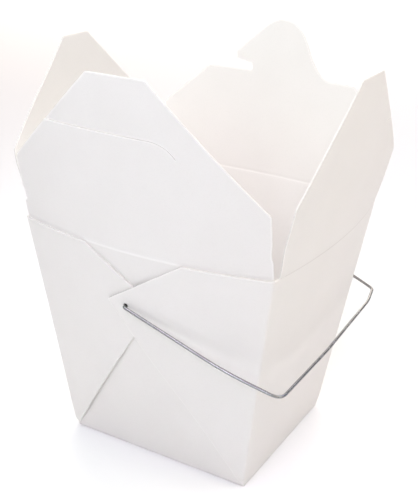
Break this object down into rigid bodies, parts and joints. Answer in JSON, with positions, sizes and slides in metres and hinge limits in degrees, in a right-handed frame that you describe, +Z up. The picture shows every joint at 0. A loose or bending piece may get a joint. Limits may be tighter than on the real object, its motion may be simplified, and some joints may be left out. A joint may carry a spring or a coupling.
{
  "type": "empty folded paperboard takeaway pail",
  "caption": "Open folded paperboard takeaway pail with lid flaps, a hook tab and its slit, folded corner gussets and a thin wire bail.",
  "frame": {"origin": "middle of the base's underside", "axes": "+Z up; +X to the pail's right, where the bail hangs; -Y to its front, whose flap has the slit"},
  "size_m": [0.1383, 0.1337, 0.177],
  "materials": {
    "board": "smooth white paperboard, satin",
    "wire": "drawn steel wire, bright"
  },
  "bodies": {
    "pail": {"carton": "board"},
    "front_lid": {"front_flap": "board"},
    "back_lid": {"back_flap": "board"},
    "left_lid": {"left_flap": "board"},
    "right_lid": {"right_flap": "board"},
    "handle": {"bail": "wire"}
  },
  "joints": [
    {"name": "front_flap_fold", "type": "hinge", "parent": "pail", "child": "front_lid", "pos_m": [0, -0.0495, 0.105], "axis": [-1, 0, 0], "range_deg": [-8, 95]},
    {"name": "back_flap_fold", "type": "hinge", "parent": "pail", "child": "back_lid", "pos_m": [0, 0.0495, 0.105], "axis": [1, 0, 0], "range_deg": [-8, 82]},
    {"name": "left_flap_fold", "type": "hinge", "parent": "pail", "child": "left_lid", "pos_m": [-0.057, 0, 0.1045], "axis": [0, 1, 0], "range_deg": [-8, 118]},
    {"name": "right_flap_fold", "type": "hinge", "parent": "pail", "child": "right_lid", "pos_m": [0.057, 0, 0.1045], "axis": [0, -1, 0], "range_deg": [-8, 108]},
    {"name": "bail_swing", "type": "hinge", "parent": "pail", "child": "handle", "pos_m": [-0.0037, 0, 0.0809], "axis": [0, -1, 0], "range_deg": [-20, 36]}
  ]
}
